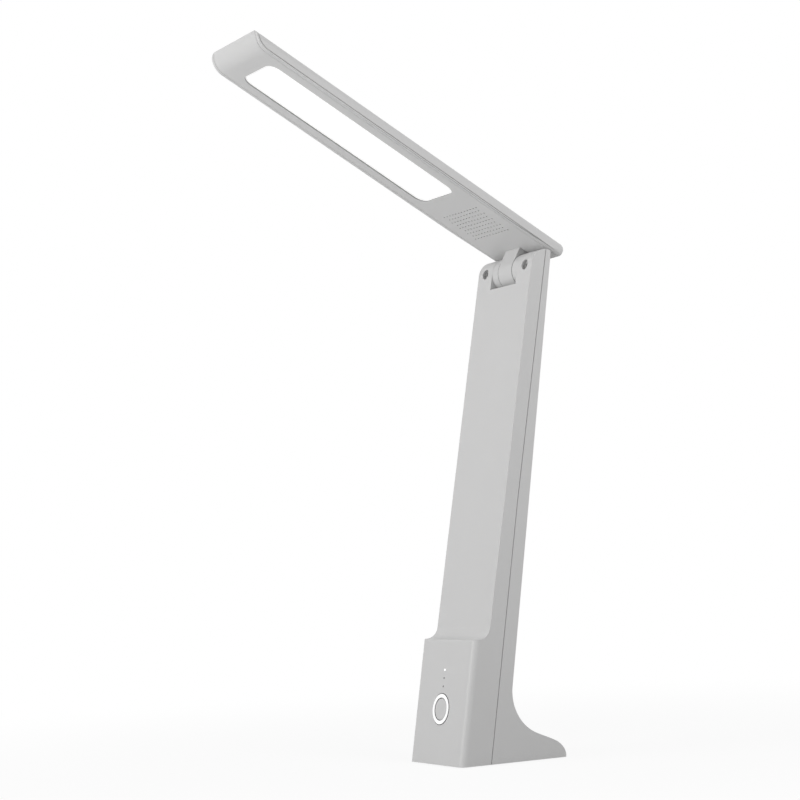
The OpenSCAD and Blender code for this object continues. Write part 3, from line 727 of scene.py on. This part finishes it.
# The foot's tip and its two corners are rolled: blocks that follow its top from the slope down to
# the end, along a curve given by its start, its knee and its end
footTip = {
    "middle": ((31 * mm, 10.2 * mm), (37.35 * mm, 7.66 * mm), (37.35 * mm, 0.6 * mm)),
    "corner": ((37 * mm, 12.4 * mm), (46 * mm, 8.24 * mm), (46 * mm, 0.8 * mm)),
    "cornerTurn": 29.9,
    "behindColumn": ((60 * mm, 60 * mm), (80 * mm, 500 * mm)),
    "half": 80 * mm,
    "far": 500 * mm,
    "steps": 16,
}


def footBlank(where, turned):
    mesh = bmesh.new()
    start, knee, end = (Vector(point) for point in footTip[where])
    far = footTip["far"]
    profile = [(-far, -far), (end.x, -far)]
    for i in range(footTip["steps"] + 1):
        share = i / footTip["steps"]
        profile.append(tuple(end.lerp(knee, share).lerp(knee.lerp(start, share), share)))
    profile += [*footTip["behindColumn"], (-far, far)]
    face = mesh.faces.new([mesh.verts.new((-footTip["half"], y, z)) for y, z in profile])
    made = bmesh.ops.extrude_face_region(mesh, geom=[face])["geom"]
    moved = [item for item in made if isinstance(item, bmesh.types.BMVert)]
    bmesh.ops.translate(mesh, vec=(2 * footTip["half"], 0, 0), verts=moved)
    bmesh.ops.rotate(mesh, matrix=Matrix.Rotation(math.radians(turned), 3, "Z"), verts=mesh.verts)
    bmesh.ops.recalc_face_normals(mesh, faces=mesh.faces)
    return makeBlank("foot_blank", mesh)


# Keeps what lies inside the blank
def trimTo(mesh, blank):
    data = bpy.data.meshes.new("trimmed")
    mesh.to_mesh(data)
    piece = bpy.data.objects.new("trimmed", data)
    for item in (piece, blank):
        scene.collection.objects.link(item)
    cut = piece.modifiers.new("cut", "BOOLEAN")
    cut.operation = "INTERSECT"
    cut.solver = "EXACT"
    cut.object = blank
    shown = piece.evaluated_get(bpy.context.evaluated_depsgraph_get()).to_mesh()
    mesh.clear()
    mesh.from_mesh(shown)
    bpy.data.objects.remove(piece)
    scene.collection.objects.unlink(blank)
    bmesh.ops.remove_doubles(mesh, verts=mesh.verts, dist=meshing["merge"])
    mesh.normal_update()


# Nodes that are shown as softened copies: width of the softening, 0 for none, and smooth angle
dressed = {
    "front_housing": (0.3 * mm, 30),
    "rear_housing": (0.3 * mm, 30),
    "top_cover": (0.25 * mm, 30),
    "lower_cover": (0, 30),
    "base_plate": (0.3 * mm, 30),
    "knuckle_arm": (0.25 * mm, 30),
    "button_cap": (0, 40),
    "base_pad": (0.25 * mm, 30),
    "hinge_screws": (0.2 * mm, 40),
    "charge_socket": (0.08 * mm, 40),
}


def dressNodes():
    headBlanks = [rolledBlank()]
    turn = footTip["cornerTurn"]
    footBlanks = [footBlank("middle", 0), footBlank("corner", turn), footBlank("corner", -turn)]
    blanks = {"top_cover": headBlanks, "lower_cover": headBlanks, "rear_housing": footBlanks}
    for name, (width, smooth) in dressed.items():
        mesh = mergedCopy(name)
        for blank in blanks.get(name, ()):
            trimTo(mesh, blank)
        count = softenEdges(mesh, width) if width else 0
        finish = shaded.get(name, finishes[slotOf[name]])
        addPiece(name + "_moulded", mesh, bodyOf[name], finish, (name,), smooth)
        print("dressed", name, "with", count, "softened edges")
    for blank in headBlanks + footBlanks:
        bpy.data.objects.remove(blank)


dressNodes()


# Light ring, spun from its section: lit on its face, with a near-black painted shade on its sides for the gaps
# beside them
ring = {
    "colour": 0.55,
    "sideShade": 0.05,
    "glow": 0.5,
    "litFrom": -0.16 * mm,
    "cloud": (300, 2),
    "roughness": 0.22,
    "cloudRoughness": 0.05,
    "centre": 32.5 * mm,
    "outer": 9.4 * mm,
    "inner": 6.7 * mm,
    "proud": 0.3 * mm,
    "flange": 10.7 * mm,
    "back": 3.0 * mm,
    "wall": 2.2 * mm,
    "edge": 0.12 * mm,
    "groove": 0.4 * mm,
    "bore": 0.05 * mm,
    "steps": 96,
    "smooth": 35,
}


def ringLight(name):
    paint = newPaint(name)
    cloud = paint.noise(paint.place(), *ring["cloud"])
    # Painted shade on the ring's sides, where they meet the gaps beside them
    lit = paint.leaned(lamp["blockLean"])[1] < ring["litFrom"]
    return paint.finish(
        Base_Color=paint.blend(lit, grey(ring["sideShade"]), grey(ring["colour"])),
        Emission_Color=paint.blend(lit, grey(0.0), grey(1.0)),
        Emission_Strength=ring["glow"],
        Roughness=ring["roughness"] + cloud * ring["cloudRoughness"],
    )


def makeRing():
    mesh = bmesh.new()
    inner = ring["inner"] + ring["bore"]
    outer = ring["outer"] - ring["groove"]
    section = [
        (inner, ring["back"]),
        (inner, -ring["proud"] + ring["edge"]),
        (inner + ring["edge"], -ring["proud"]),
        (outer - ring["edge"], -ring["proud"]),
        (outer, -ring["proud"] + ring["edge"]),
        (outer, ring["wall"]),
        (ring["flange"], ring["wall"]),
        (ring["flange"], ring["back"]),
    ]
    points = [mesh.verts.new((r, depth, 0)) for r, depth in section]
    edges = [mesh.edges.new((points[i], points[(i + 1) % len(points)])) for i in range(len(points))]
    bmesh.ops.spin(
        mesh, geom=points + edges, cent=(0, 0, 0), axis=(0, 1, 0), angle=2 * math.pi,
        steps=ring["steps"], use_merge=True)
    bmesh.ops.remove_doubles(mesh, verts=mesh.verts, dist=meshing["merge"] / 2)
    bmesh.ops.recalc_face_normals(mesh, faces=mesh.faces)
    inPlace = inBlock @ Matrix.Translation((0, 0, ring["centre"]))
    bmesh.ops.transform(mesh, matrix=inPlace, verts=mesh.verts)
    finish = ringLight("ring_light")
    addPiece("light_ring_spun", mesh, "root", finish, ("light_ring",), ring["smooth"])


makeRing()
print("ring made")

# Floor, background and lights. The floor fades to white, and near the lamp it throws less light back.
studio = {
    "floorSize": 6.0,
    "floorColour": 0.86,
    "floorNear": 0.62,
    "nearFade": (0.5, 0.1),
    "floorShow": 0.9,
    "showFade": (0.12, 0.7),
    "floorRoughness": 0.9,
    "ambient": 0.45,
    "lookAt": (0, 0, 0.2),
    "front": {"at": (-0.25, -1.35, 0.45), "size": 0.9, "power": 8.6},
    "side": {"at": (0.95, 0.15, 0.8), "size": 0.5, "power": 4.2},
}


# 1 for what the camera sees, also as a reflection or through glass
def isShown(paint):
    kinds = ("Is Camera Ray", "Is Glossy Ray", "Is Transmission Ray")
    camera, glossy, through = (paint.add("ShaderNodeLightPath", output=kind) for kind in kinds)
    return camera.orMore(glossy.orMore(through))


def makeFloor():
    mesh = bmesh.new()
    bmesh.ops.create_grid(mesh, x_segments=1, y_segments=1, size=studio["floorSize"])
    data = bpy.data.meshes.new("floor")
    mesh.to_mesh(data)
    mesh.free()
    floor = bpy.data.objects.new("floor", data)
    scene.collection.objects.link(floor)
    paint = newPaint("floor_paint")
    away = paint.add("ShaderNodeVectorMath", {"operation": "LENGTH"}, {0: paint.place()}, "Value")
    fade = paint.ease(away, *studio["showFade"], low=studio["floorShow"])
    hidden = paint.ease(away, *studio["nearFade"]) * (1 - isShown(paint))
    paint.finish(
        Base_Color=paint.blend(hidden, grey(studio["floorColour"]), grey(studio["floorNear"])),
        Roughness=studio["floorRoughness"],
        Specular_IOR_Level=0.0)
    glow = paint.add("ShaderNodeEmission", inputs={"Color": (1, 1, 1, 1), "Strength": 1.0})
    mixed = paint.add("ShaderNodeMixShader", inputs={
        0: isShown(paint) * fade, 1: Wire(paint, paint.shader.outputs[0]), 2: glow})
    paint.plug(paint.tree.nodes["Material Output"].inputs["Surface"], mixed)
    data.materials.append(paint.owner)


def makeWorld():
    world = bpy.data.worlds.new("studio")
    scene.world = world
    paint = Paint(world)
    light, white = (
        paint.add("ShaderNodeBackground", inputs={"Color": (1, 1, 1, 1), "Strength": strength})
        for strength in (studio["ambient"], 1.0))
    mixed = paint.add("ShaderNodeMixShader", inputs={0: isShown(paint), 1: light, 2: white})
    paint.plug(paint.tree.nodes["World Output"].inputs["Surface"], mixed)


def addLight(name, at, size, power):
    data = bpy.data.lights.new(name, "AREA")
    data.shape = "DISK"
    data.size = size
    data.energy = power
    light = bpy.data.objects.new(name, data)
    turn = (Vector(studio["lookAt"]) - Vector(at)).to_track_quat("-Z", "Y").to_matrix().to_4x4()
    light.matrix_world = Matrix.Translation(at) @ turn
    scene.collection.objects.link(light)


makeFloor()
makeWorld()
addLight("front_light", **studio["front"])
addLight("side_light", **studio["side"])
print("studio set")
